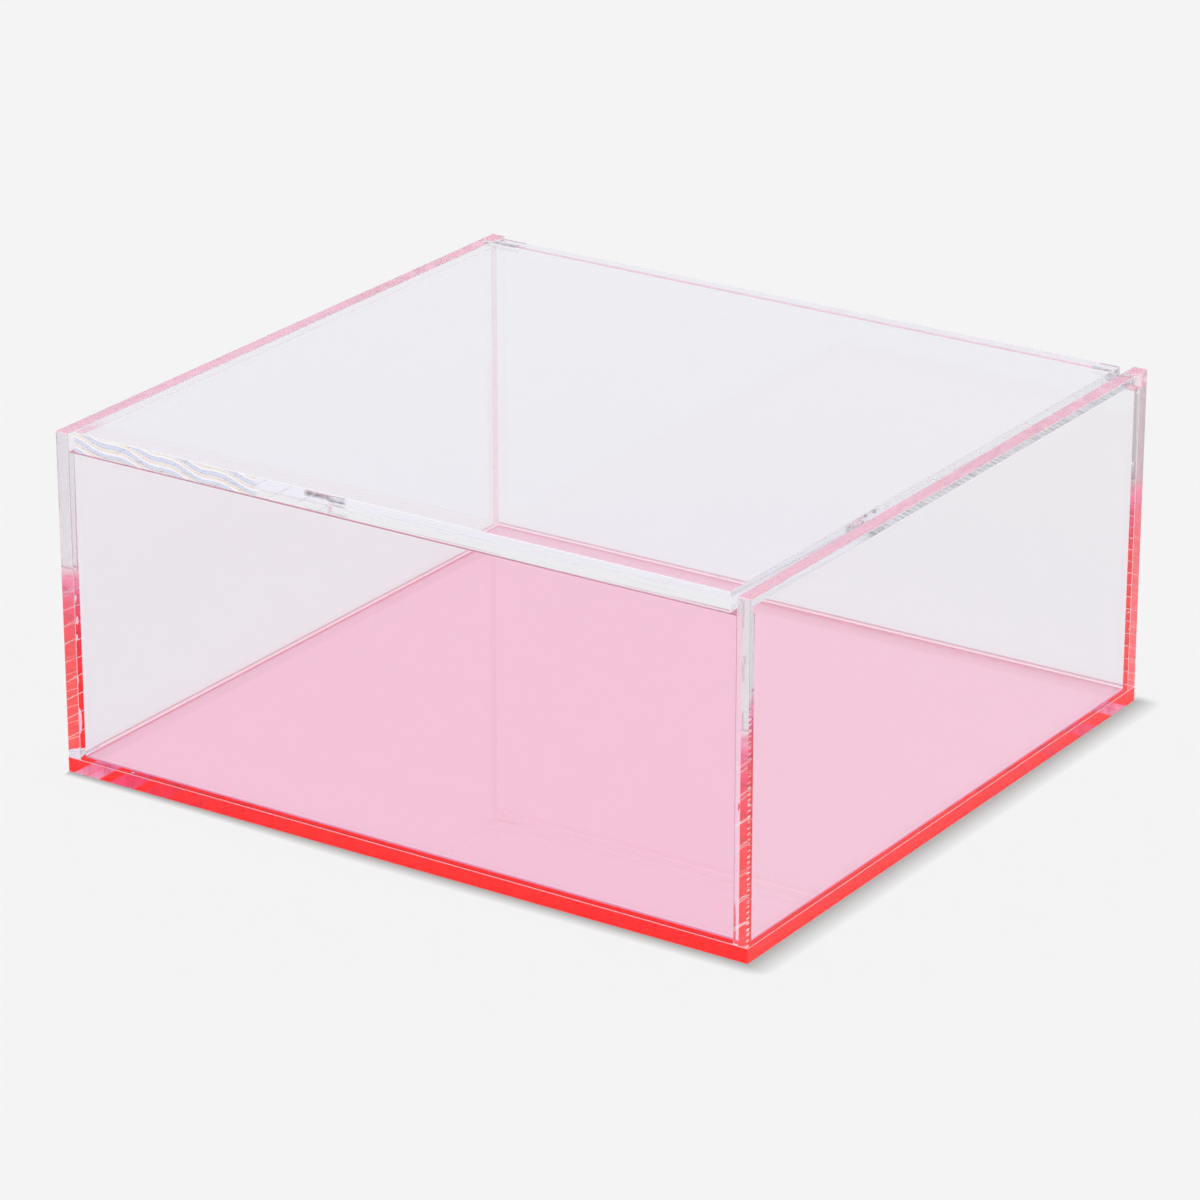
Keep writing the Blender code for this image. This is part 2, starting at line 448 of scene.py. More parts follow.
class Nodes:
    """The nodes of one material or world, and short forms that add to them."""

    def __init__(self, owner):
        """Opens the node tree of a new material or world."""
        owner.use_nodes = True
        self.tree = owner.node_tree
        self.coordinates = self.add("ShaderNodeTexCoord").outputs
        self.place = self.coordinates["Object"]

    def add(self, kind, **values):
        """Adds a node and sets its properties."""
        node = self.tree.nodes.new(kind)
        for name, value in values.items():
            setattr(node, name, value)
        return node

    def feed(self, value, target):
        """Links a socket to an input, or sets a plain number, vector or colour on it."""
        if isinstance(value, bpy.types.NodeSocket):
            self.tree.links.new(value, target)
        elif target.type == "RGBA":
            target.default_value = (*value, 1.0)
        else:
            target.default_value = value

    def maths(self, operation, *values, clamp=False):
        """The result of a Math node."""
        node = self.add("ShaderNodeMath", operation=operation, use_clamp=clamp)
        for value, target in zip(values, node.inputs):
            self.feed(value, target)
        return node.outputs[0]

    def vectors(self, operation, *values):
        """The result of a Vector Math node, a number for a dot product or a length."""
        node = self.add("ShaderNodeVectorMath", operation=operation)
        for value, target in zip(values, node.inputs):
            self.feed(value, target)
        return node.outputs["Value" if operation in ("DOT_PRODUCT", "LENGTH") else "Vector"]

    def times(self, first, *others):
        """The product of some values."""
        for other in others:
            first = self.maths("MULTIPLY", first, other)
        return first

    def larger(self, first, second):
        """The larger of two values."""
        return self.maths("MAXIMUM", first, second)

    def scaled(self, value, factor, offset, clamp=False):
        """A value times a factor, plus an offset."""
        return self.maths("MULTIPLY_ADD", value, factor, offset, clamp=clamp)

    def ramp(self, value, start, end):
        """A smooth rise from 0 to 1 between two values."""
        node = self.add("ShaderNodeMapRange", interpolation_type="SMOOTHSTEP")
        self.feed(value, node.inputs["Value"])
        self.feed(start, node.inputs["From Min"])
        self.feed(end, node.inputs["From Max"])
        return node.outputs["Result"]

    def mix(self, factor, first, second):
        """A colour between two others."""
        node = self.add("ShaderNodeMix", data_type="RGBA")
        self.feed(factor, node.inputs[MIX_FACTOR])
        self.feed(first, node.inputs[MIX_FIRST])
        self.feed(second, node.inputs[MIX_SECOND])
        return node.outputs[MIX_RESULT]

    def tones(self, value, stops):
        """The colour that a value picks from a row of stops."""
        node = self.add("ShaderNodeValToRGB")
        self.feed(value, node.inputs["Fac"])
        elements = node.color_ramp.elements
        while len(elements) < len(stops):
            elements.new(0.5)
        for element, (position, colour) in zip(elements, stops):
            element.position = position
            element.color = (*colour, 1.0)
        return node.outputs["Color"]

    def attribute(self, name):
        """A number stored on the faces."""
        node = self.add("ShaderNodeAttribute", attribute_name=name, attribute_type="GEOMETRY")
        return node.outputs["Fac"]

    def axes(self, vector):
        """A vector's three numbers."""
        node = self.add("ShaderNodeSeparateXYZ")
        self.feed(vector, node.inputs[0])
        return node.outputs

    def along(self, direction):
        """Distance along a direction, in metres times its length."""
        return self.vectors("DOT_PRODUCT", self.place, direction)

    def past(self, direction, start, end):
        """A smooth rise from 0 to 1 between two distances along a direction."""
        return self.ramp(self.along(direction), start, end)

    def below(self, upper, lower):
        """A smooth rise from 0 to 1 from one height down to another."""
        return self.past(DOWN, -upper, -lower)

    def noise(self, scale, detail=2.0, vector=None):
        """A noise from -0.5 to 0.5, on the point's place if nothing else is given."""
        node = self.add("ShaderNodeTexNoise")
        self.feed(self.place if vector is None else vector, node.inputs["Vector"])
        self.feed(scale, node.inputs["Scale"])
        self.feed(detail, node.inputs["Detail"])
        return self.maths("SUBTRACT", node.outputs["Fac"], 0.5)

    def dice(self, number):
        """A random value from 0 to 1 that stays the same over each whole number."""
        node = self.add("ShaderNodeTexWhiteNoise", noise_dimensions="1D")
        self.feed(self.maths("FLOOR", number), node.inputs["W"])
        return node.outputs["Value"]


class SheetNodes(Nodes):
    """The nodes of one acrylic sheet's material."""

    def __init__(self, name):
        """Starts a new material and finds its cut edges."""
        self.material = bpy.data.materials.new(name)
        super().__init__(self.material)
        self.shader = self.tree.nodes["Principled BSDF"]
        self.output = self.tree.nodes["Material Output"]
        self.cut = self.attribute("cut")


def cutter_steps(nodes, cutter):
    """A cutter's steps, counted, and how far a point is from the middle of its step."""
    wander = nodes.times(nodes.noise(WANDER_SCALE), WANDER)
    turns = nodes.scaled(nodes.along(cutter.direction), 1 / cutter.pitch, wander)
    return turns, nodes.maths("SUBTRACT", nodes.maths("FRACT", turns), 0.5)


def cutter_lines(nodes, cutter, turns, off):
    """A line at each end of a cutter's steps, from 0 to 1, some fainter than others."""
    sharpness = cutter.pitch / cutter.width
    edge = nodes.scaled(nodes.maths("ABSOLUTE", off), sharpness, 1 - sharpness / 2, clamp=True)
    chance = nodes.dice(nodes.maths("ADD", turns, 0.5))
    return nodes.times(edge, nodes.scaled(chance, 1 - FAINTEST_LINE, FAINTEST_LINE))


def cutter_flats(nodes, cutter, turns, off):
    """The height of the flats between a cutter's lines, each tilted by chance."""
    rise = cutter.slope * cutter.pitch
    return nodes.times(off, nodes.scaled(nodes.dice(turns), 2 * rise, -rise))


def saw_marks(nodes, saw):
    """Saw lines low on the cut edges, with fine ones between, and the height of the edges."""
    teeth = saw._replace(pitch=saw.pitch * TOOTH_PITCH_SHARE, width=TOOTH_WIDTH, slope=TOOTH_SLOPE)
    steps = cutter_steps(nodes, saw)
    fine_steps = cutter_steps(nodes, teeth)
    fine = nodes.times(cutter_lines(nodes, teeth, *fine_steps), TOOTH_STRENGTH)
    lines = nodes.larger(cutter_lines(nodes, saw, *steps), fine)
    lines = nodes.times(lines, nodes.below(*SAW_LINES_FADE), nodes.cut)
    flats = cutter_flats(nodes, saw, *steps)
    ripple = cutter_flats(nodes, teeth, *fine_steps)
    return Marks(lines, nodes.maths("ADD", flats, ripple))


def base_marks(nodes):
    """The base's even cut edges, with hardly a line on them."""
    marks = saw_marks(nodes, BASE_SAW)
    lines = nodes.times(marks.lines, BASE_LINES_SHARE)
    return Marks(lines, nodes.times(marks.height, BASE_HEIGHT_SHARE))


def chattered(nodes, arris, lines):
    """The arrises and lines of a wall whose wide arris is hazy at its top, with dashes down the rest."""
    steps = nodes.maths("FRACT", nodes.maths("DIVIDE", nodes.along(CHATTER_DIRECTION), CHATTER_PITCH))
    wandered = nodes.maths("ADD", steps, nodes.noise(CHATTER_WANDER_SCALE))
    dashes = nodes.maths("LESS_THAN", wandered, CHATTER_SHARE)
    patches = nodes.ramp(nodes.noise(CHATTER_PATCH_SCALE), *CHATTER_PATCHES)
    low = nodes.below(*CHATTER_FADE)
    wide = nodes.attribute("wide")
    dashes = nodes.times(dashes, patches, low, wide)
    cleared = nodes.scaled(low, -WIDE_HAZE, WIDE_HAZE - 1)
    return nodes.scaled(wide, cleared, arris), nodes.larger(dashes, lines)


def side_streaks(nodes):
    """Dark streaks low on the lid's sawn right side."""
    streaks = cutter_lines(nodes, LID_SAW, *cutter_steps(nodes, LID_SAW))
    fine = cutter_lines(nodes, LID_TEETH, *cutter_steps(nodes, LID_TEETH))
    lines = nodes.larger(streaks, nodes.scaled(fine, STREAK_TEETH, STREAK_GROUND))
    low = nodes.below(*STREAKS_FADE)
    back = nodes.past(BACK, *STREAKS_BACKWARDS)
    right = nodes.past(RIGHT, *STREAKS_RIGHTWARDS)
    return nodes.times(lines, low, back, right, nodes.attribute("side"))


def lid_marks(nodes):
    """The streaks on the lid's side, and the swirls and long lines of its milled front edge, whose
    swirls get painted highlights and reflections.
    """
    left = nodes.past(LEFT, *MILLED_LEFTWARDS)
    front = nodes.attribute("front")
    milled = nodes.times(left, front)
    sway = nodes.maths("SINE", nodes.along(SWAY_PER_METRE))
    drift = nodes.scaled(nodes.noise(DRIFT_SCALE), DRIFT, nodes.along(SWIRLS_PER_METRE))
    swirl = nodes.maths("FRACT", nodes.scaled(sway, SWAY, drift))
    ridge = nodes.maths("ABSOLUTE", nodes.maths("SUBTRACT", swirl, 0.5))
    # Painted highlights on the swirls' crests
    pale = nodes.times(nodes.scaled(ridge, PAINTED_CREST_SLOPE, PAINTED_CREST_RISE, clamp=True), milled)
    crest = nodes.scaled(ridge, CREST_SLOPE, 1.0, clamp=True)
    crests = nodes.times(crest, crest, left, CREST_HEIGHT)
    stretched = nodes.vectors("MULTIPLY", nodes.place, LONG_LINES_STRETCH)
    long_lines = nodes.times(nodes.noise(LONG_LINES_SCALE, vector=stretched), LONG_LINES_HEIGHT)
    height = nodes.scaled(long_lines, nodes.past(RIGHT, *LONG_LINES_RIGHTWARDS), crests)
    return Marks(
        lines=side_streaks(nodes),
        height=nodes.times(height, front),
        pale=pale,
        milled=milled,
        tones=nodes.tones(swirl, SWIRL_PAINTED_LIGHT),
    )


def finish_faces(nodes, arris, lines, height, sawn, frost=0.0):
    """Sets the haze, bump and roughness that tools and hands left on a sheet."""
    look = bpy.context.scene.acrylic_box_acrylic
    shader = nodes.shader
    shader.inputs["IOR"].default_value = look.refraction
    clouded = nodes.larger(nodes.larger(arris, lines), nodes.times(nodes.cut, frost))
    clear = nodes.scaled(clouded, -look.scraped_haze, 1.0)
    nodes.feed(clear, shader.inputs["Transmission Weight"])
    bump = nodes.add("ShaderNodeBump")
    bump.inputs["Distance"].default_value = 1.0
    nodes.feed(nodes.cut, bump.inputs["Strength"])
    nodes.feed(height, bump.inputs["Height"])
    nodes.feed(bump.outputs["Normal"], shader.inputs["Normal"])
    handled = nodes.ramp(nodes.noise(HANDLED_SCALE, HANDLED_DETAIL), *HANDLED_PATCHES)
    rough = nodes.scaled(handled, look.handled, look.polished)
    rough = nodes.scaled(nodes.cut, sawn, rough)
    rough = nodes.scaled(nodes.attribute("drilled"), look.drilled, rough)
    nodes.feed(rough, shader.inputs["Roughness"])


def absorb(nodes, colour, density):
    """Sets what a sheet's thickness takes from the light."""
    volume = nodes.add("ShaderNodeVolumeAbsorption")
    nodes.feed(colour, volume.inputs["Color"])
    nodes.feed(density, volume.inputs["Density"])
    nodes.feed(volume.outputs[0], nodes.output.inputs["Volume"])


def sound_weld(nodes):
    """1 where solvent fills a joint, and 0 at its voids and bubbles, the same on both sheets."""
    sound = nodes.maths("LESS_THAN", nodes.noise(BUBBLE_SCALE, detail=1.0), BUBBLE_LEVEL)
    ragged = nodes.noise(RAGGED_SCALE, detail=3.0)
    for centre, half_sizes in VOIDS:
        away = nodes.vectors("SUBTRACT", nodes.place, centre)
        size = nodes.vectors("LENGTH", nodes.vectors("DIVIDE", away, half_sizes))
        rim = nodes.scaled(ragged, RAGGEDNESS, size)
        sound = nodes.times(sound, nodes.maths("GREATER_THAN", rim, 1.0))
    return sound


def weld(nodes, through):
    """Shows the sheet's own surface, but for sound welds, which light goes straight through."""
    mix = nodes.add("ShaderNodeMixShader")
    nodes.feed(nodes.times(nodes.attribute("bond"), sound_weld(nodes)), mix.inputs[0])
    nodes.feed(nodes.shader.outputs[0], mix.inputs[1])
    nodes.feed(through, mix.inputs[2])
    nodes.feed(mix.outputs[0], nodes.output.inputs["Surface"])


def clear_acrylic(
        nodes, marks, line_colour=WHITE, painted_edge_pink=None, purity=1.0,
        sawn=None, frost=0.0, chatter=False,
):
    """Clear sheet with marked cut edges, a tinted bead of cement along its foot, and painted light where
    asked: pink from the base on the cut edges, and highlights and reflections on milled swirls.
    """
    look = bpy.context.scene.acrylic_box_acrylic
    # The pale crests add painted highlights to the scraped haze
    arris = nodes.larger(nodes.attribute("arris"), marks.pale)
    lines = marks.lines
    if chatter:
        arris, lines = chattered(nodes, arris, lines)
    colour = nodes.mix(arris, look.clear_tint, WHITE)
    foot = nodes.times(nodes.below(*CEMENT_FADE), nodes.maths("SUBTRACT", 1.0, nodes.cut))
    colour = nodes.mix(foot, colour, look.cement)
    # Painted pink light from the base on the cut edges
    if painted_edge_pink is not None:
        colour = nodes.mix(nodes.cut, colour, painted_edge_pink)
    # Painted highlights and reflections on the milled swirls
    if marks.milled is not None:
        colour = nodes.mix(marks.milled, colour, marks.tones)
    nodes.feed(nodes.mix(lines, colour, line_colour), nodes.shader.inputs["Base Color"])
    finish_faces(nodes, arris, lines, marks.height, look.sawn if sawn is None else sawn, frost)
    absorb(nodes, look.clear_pass, look.clear_density / purity)
    weld(nodes, nodes.add("ShaderNodeBsdfTransparent").outputs[0])
    return nodes.material


def pink_acrylic(nodes, marks):
    """Pink sheet, whose dye absorbs light, with a painted glow, strongest at its cut edges, that stands
    in for the dye's fluorescence.
    """
    look = bpy.context.scene.acrylic_box_acrylic
    shader = nodes.shader
    arris = nodes.larger(nodes.attribute("arris"), marks.pale)
    colour = nodes.mix(arris, WHITE, look.pink_arris)
    nodes.feed(nodes.mix(marks.lines, colour, WHITE), shader.inputs["Base Color"])
    finish_faces(nodes, arris, marks.lines, marks.height, look.sawn)
    # Painted glow on the broad faces, stronger on the cut edges
    nodes.feed(look.painted_glow, shader.inputs["Emission Color"])
    strength = nodes.scaled(nodes.cut, look.painted_edge_glow, look.painted_face_glow)
    nodes.feed(strength, shader.inputs["Emission Strength"])
    absorb(nodes, look.pink_pass, look.pink_density)
    # Painted glow that leaves through the sound welds
    painted_weld_light = nodes.add("ShaderNodeEmission")
    nodes.feed(look.painted_glow, painted_weld_light.inputs["Color"])
    nodes.feed(look.painted_weld_glow, painted_weld_light.inputs["Strength"])
    both = nodes.add("ShaderNodeAddShader")
    nodes.feed(nodes.add("ShaderNodeBsdfTransparent").outputs[0], both.inputs[0])
    nodes.feed(painted_weld_light.outputs[0], both.inputs[1])
    weld(nodes, both.outputs[0])
    return nodes.material


def drawn_steel():
    """Drawn wire with a faint grain, stained in places."""
    steel = bpy.data.materials.new("drawn steel wire")
    nodes = Nodes(steel)
    shader = nodes.tree.nodes["Principled BSDF"]
    shader.inputs["Metallic"].default_value = 1.0
    stain = nodes.ramp(nodes.noise(STAIN_SCALE, detail=3.0), *STAIN_PATCHES)
    nodes.feed(nodes.mix(stain, STAINED_STEEL, BRIGHT_STEEL), shader.inputs["Base Color"])
    rough = nodes.scaled(nodes.noise(GRAIN_SCALE), GRAIN_ROUGHNESS, STEEL_ROUGHNESS)
    nodes.feed(rough, shader.inputs["Roughness"])
    return steel


def is_sharp(edge):
    """True for an edge between two square faces."""
    return edge.calc_face_angle() > SHARP_ANGLE


def middle(edge):
    """The middle of an edge."""
    return (edge.verts[0].co + edge.verts[1].co) / 2


def on_skin(point):
    """True if a point lies on the outside of the whole box."""
    low, high = cad_bounds
    return any(min(p - a, b - p) < HAIR / 2 for a, p, b in zip(low, point, high))


def zone(low, high):
    """The space between two corners, with a hair more on each side."""
    hair = Vector((HAIR, HAIR, HAIR))
    return Vector(low) - hair, Vector(high) + hair


def in_any(point, zones):
    """True if a point lies in one of some zones."""
    return any(all(a <= p <= b for a, p, b in zip(low, point, high)) for low, high in zones)


def bevel(shape, edges, width):
    """Scrapes a flat arris along some edges."""
    bmesh.ops.bevel(
        shape, geom=edges, offset=width, segments=1,
        profile=0.5, affect="EDGES", material=-1,
    )


def scrape(shape, contacts, wide=None, free=True):
    """Scrapes the edges that a weld shows outside and, if asked, the free edges."""
    sizes = bpy.context.scene.acrylic_box_sheets
    if wide is not None:
        edges = [edge for edge in shape.edges if is_sharp(edge) and in_any(middle(edge), [wide])]
        bevel(shape, edges, sizes.wide_arris)
    welded = [edge for edge in shape.edges if is_sharp(edge) and in_any(middle(edge), contacts)]
    scraped = [edge for edge in welded if on_skin(middle(edge))]
    if free:
        scraped += [edge for edge in shape.edges if is_sharp(edge) and edge not in welded]
    bevel(shape, scraped, sizes.arris)


def split(shape, *planes):
    """Cuts the faces along planes, each an axis and a place on it."""
    for axis, place in planes:
        bmesh.ops.bisect_plane(
            shape, geom=shape.verts[:] + shape.edges[:] + shape.faces[:],
            plane_co=AXES[axis] * place, plane_no=AXES[axis],
        )


def block(low, high):
    """A closed block between two corners."""
    low, high = Vector(low), Vector(high)
    shape = bmesh.new()
    bmesh.ops.create_cube(shape, size=1.0)
    bmesh.ops.scale(shape, vec=high - low, verts=shape.verts[:])
    bmesh.ops.translate(shape, vec=(low + high) / 2, verts=shape.verts[:])
    return shape


def new_object(name, shape):
    """Turns a bmesh into an object of the scene."""
    mesh = bpy.data.meshes.new(name)
    shape.to_mesh(mesh)
    shape.free()
    item = bpy.data.objects.new(name, mesh)
    bpy.context.scene.collection.objects.link(item)
    return item


def pin_axis(name):
    """The middle of a hinge pin, and the radius of its bore."""
    low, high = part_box(name)
    return (low + high) / 2, (high.z - low.z) / 2 + bpy.context.scene.acrylic_box_sheets.bore_play


def drill(shape, radius, *bores):
    """Drills bores along x, each between two points, and returns the drilled bmesh."""
    item = new_object("blank", shape)
    cutters = []
    for start, end in bores:
        rod = bmesh.new()
        turn = Matrix.Rotation(math.pi / 2, 4, "Y")
        bmesh.ops.create_cone(
            rod, cap_ends=True, segments=BORE_SIDES, radius1=radius, radius2=radius,
            depth=abs(end.x - start.x), matrix=Matrix.Translation((start + end) / 2) @ turn,
        )
        cutters.append(new_object("drill", rod))
        cut = item.modifiers.new("bore", "BOOLEAN")
        cut.operation = "DIFFERENCE"
        cut.solver = "EXACT"
        cut.object = cutters[-1]
    bpy.context.view_layer.update()
    drilled = bmesh.new()
    drilled.from_object(item, bpy.context.evaluated_depsgraph_get())
    for spent in (item, *cutters):
        mesh = spent.data
        bpy.data.objects.remove(spent)
        bpy.data.meshes.remove(mesh)
    return drilled


def mark(shape, thickness, contacts, bore_radius=0.0):
    """Stores on each face how it was made and whether it is welded to a neighbour."""
    axis, _ = pin_axis("right_hinge_pin")
    names = ("cut", "arris", "drilled", "bond", "front", "side", "wide")
    layers = {name: shape.faces.layers.float.new(name) for name in names}
    for face in shape.faces:
        centre = face.calc_center_median()
        normal = face.normal
        square = max(abs(value) for value in normal) > FLAT
        from_axis = math.hypot(centre.y - axis.y, centre.z - axis.z)
        bored = from_axis < bore_radius + HAIR / 10
        facts = {
            "cut": abs(normal[thickness]) <= FLAT and not bored,
            "arris": not square and not bored,
            "drilled": bored,
            "bond": square and not bored and in_any(centre, contacts),
            "front": normal.y < -FLAT,
            "side": abs(normal.x) > FLAT,
            "wide": normal.x > ARRIS_FACING and normal.y < -ARRIS_FACING,
        }
        for name, fact in facts.items():
            face[layers[name]] = float(fact)


def finish_piece(name, shape, material, body, slot, *nodes):
    """Turns a bmesh into a finished piece that rides on a body and stands for its nodes."""
    piece = new_object(name, shape)
    piece.data.materials.append(material)
    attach(piece, body)
    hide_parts(*nodes)
    return piece


class ACRYLICBOX_OT_base(bpy.types.Operator):
    """Make the fluorescent pink base plate"""

    bl_idname = "acrylic_box.base"
    bl_label = "Base plate"

    def execute(self, context):
        """Makes the plate and splits its top where the walls are welded on."""
        low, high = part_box("base_plate")
        front_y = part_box("front_panel")[1].y
        rear_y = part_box("rear_panel")[0].y
        top = high.z
        contacts = [
            zone((low.x, low.y, top), (-INNER_X, high.y, top)),
            zone((INNER_X, low.y, top), (high.x, high.y, top)),
            zone((low.x, low.y, top), (high.x, front_y, top)),
            zone((low.x, rear_y, top), (high.x, high.y, top)),
        ]
        shape = block(low, high)
        scrape(shape, contacts, free=False)
        split(shape, (0, -INNER_X), (0, INNER_X), (1, front_y), (1, rear_y))
        mark(shape, 2, contacts)
        nodes = SheetNodes("pink acrylic")
        pink = pink_acrylic(nodes, base_marks(nodes))
        finish_piece("pink_base", shape, pink, "box", "pink_acrylic", "base_plate")
        return {"FINISHED"}


class ACRYLICBOX_OT_side_walls(bpy.types.Operator):
    """Make the two clear side walls"""

    bl_idname = "acrylic_box.side_walls"
    bl_label = "Side walls"

    def execute(self, context):
        """Makes each wall down to the base and back to the rear panel."""
        sizes = context.scene.acrylic_box_sheets
        look = context.scene.acrylic_box_acrylic
        panel_low, panel_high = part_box("front_panel")
        for name, side, saw in (("left_wall", -1, LEFT_SAW), ("right_wall", 1, RIGHT_SAW)):
            low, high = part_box(name)
            low.z = BASE_TOP + sizes.film
            high.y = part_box("rear_panel")[0].y - sizes.film
            inner, outer = (high.x, low.x) if side < 0 else (low.x, high.x)
            contacts = [
                zone((low.x, low.y, low.z), (high.x, high.y, low.z)),
                zone((low.x, high.y, low.z), (high.x, high.y, high.z)),
                zone((inner, panel_low.y, low.z), (inner, panel_high.y, panel_high.z)),
            ]
            wide = zone((outer, low.y, low.z), (outer, low.y, high.z)) if side > 0 else None
            shape = block(low, high)
            scrape(shape, contacts, wide)
            split(shape, (1, panel_high.y), (2, panel_high.z))
            axis, radius = pin_axis(name.replace("wall", "hinge_pin"))
            mouth = Vector((inner - side * HAIR, axis.y, axis.z))
            floor = Vector((outer - side * sizes.wall_skin, axis.y, axis.z))
            shape = drill(shape, radius, (mouth, floor))
            mark(shape, 0, contacts, radius)
            nodes = SheetNodes("clear " + name.replace("_", " "))
            marks = saw_marks(nodes, saw)
            clear = clear_acrylic(nodes, marks, frost=look.wall_frost, chatter=side > 0)
            finish_piece("clear_" + name, shape, clear, "box", "clear_acrylic", name)
        return {"FINISHED"}


class ACRYLICBOX_OT_panels(bpy.types.Operator):
    """Make the clear front panel and the notched rear panel"""

    bl_idname = "acrylic_box.panels"
    bl_label = "Front and rear panels"

    def execute(self, context):
        """Makes both panels down to the base."""
        sizes = context.scene.acrylic_box_sheets
        look = context.scene.acrylic_box_acrylic
        self.make_front(sizes, look)
        self.make_rear(sizes, look)
        return {"FINISHED"}

    def make_front(self, sizes, look):
        """A sheet between the side walls, up to the lid."""
        low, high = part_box("front_panel")
        low.x, high.x = -INNER_X + sizes.film, INNER_X - sizes.film
        low.z = BASE_TOP + sizes.film
        high.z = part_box("lid")[0].z - sizes.rest_gap
        contacts = [
            zone((low.x, low.y, low.z), (high.x, high.y, low.z)),
            zone((low.x, low.y, low.z), (low.x, high.y, high.z)),
            zone((high.x, low.y, low.z), (high.x, high.y, high.z)),
        ]
        shape = block(low, high)
        scrape(shape, contacts)
        mark(shape, 1, contacts)
        nodes = SheetNodes("clear front panel")
        clear = clear_acrylic(nodes, saw_marks(nodes, PANEL_SAW), painted_edge_pink=look.front_edge_painted_pink)
        finish_piece("clear_front_panel", shape, clear, "box", "clear_acrylic", "front_panel")

    def make_rear(self, sizes, look):
        """A sheet behind the side walls, notched between its two posts."""
        low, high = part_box("rear_panel")
        low.z = BASE_TOP + sizes.film
        notch_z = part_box("front_panel")[1].z
        shape = bmesh.new()
        half = [(high.x, low.z), (high.x, high.z), (INNER_X, high.z), (INNER_X, notch_z)]
        outline = half + [(-x, z) for x, z in reversed(half)]
        face = shape.faces.new([shape.verts.new((x, low.y, z)) for x, z in outline])
        grown = bmesh.ops.extrude_face_region(shape, geom=[face])
        moved = [item for item in grown["geom"] if isinstance(item, bmesh.types.BMVert)]
        bmesh.ops.translate(shape, vec=(0, high.y - low.y, 0), verts=moved)
        bmesh.ops.recalc_face_normals(shape, faces=shape.faces[:])
        contacts = [
            zone((low.x, low.y, low.z), (high.x, high.y, low.z)),
            zone((low.x, low.y, low.z), (-INNER_X, low.y, high.z)),
            zone((INNER_X, low.y, low.z), (high.x, low.y, high.z)),
        ]
        scrape(shape, contacts)
        split(shape, (0, -INNER_X), (0, INNER_X))
        mark(shape, 1, contacts)
        nodes = SheetNodes("clear rear panel")
        clear = clear_acrylic(
            nodes, saw_marks(nodes, PANEL_SAW), painted_edge_pink=look.rear_edge_painted_pink,
            purity=look.purer, sawn=look.rear_sawn, frost=look.rear_frost,
        )
        finish_piece("clear_rear_panel", shape, clear, "box", "clear_acrylic", "rear_panel")


class ACRYLICBOX_OT_lid(bpy.types.Operator):
    """Make the clear lid"""

    bl_idname = "acrylic_box.lid"
    bl_label = "Lid"

    def execute(self, context):
        """Makes the lid, which nothing is welded to, and drills it for the pins."""
        sizes = context.scene.acrylic_box_sheets
        look = context.scene.acrylic_box_acrylic
        low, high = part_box("lid")
        shape = block(low, high)
        scrape(shape, [])
        bores = []
        for name, side in (("left_hinge_pin", -1), ("right_hinge_pin", 1)):
            axis, radius = pin_axis(name)
            end = min(abs(corner.x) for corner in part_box(name)) - sizes.end_play
            mouth = Vector((side * (high.x + HAIR), axis.y, axis.z))
            bores.append((mouth, Vector((side * end, axis.y, axis.z))))
        shape = drill(shape, radius, *bores)
        mark(shape, 2, [], radius)
        nodes = SheetNodes("clear lid")
        clear = clear_acrylic(nodes, lid_marks(nodes), line_colour=look.streak, purity=look.purer)
        finish_piece("clear_lid", shape, clear, "lid", "clear_acrylic", "lid")
        return {"FINISHED"}


class ACRYLICBOX_OT_pins(bpy.types.Operator):
    """Give the two hinge pins their steel"""

    bl_idname = "acrylic_box.pins"
    bl_label = "Hinge pins"

    def execute(self, context):
        """Puts one drawn-wire steel on both pins."""
        steel = drawn_steel()
        for name in ("left_hinge_pin", "right_hinge_pin"):
            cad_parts[name].data.materials[0] = steel
        return {"FINISHED"}


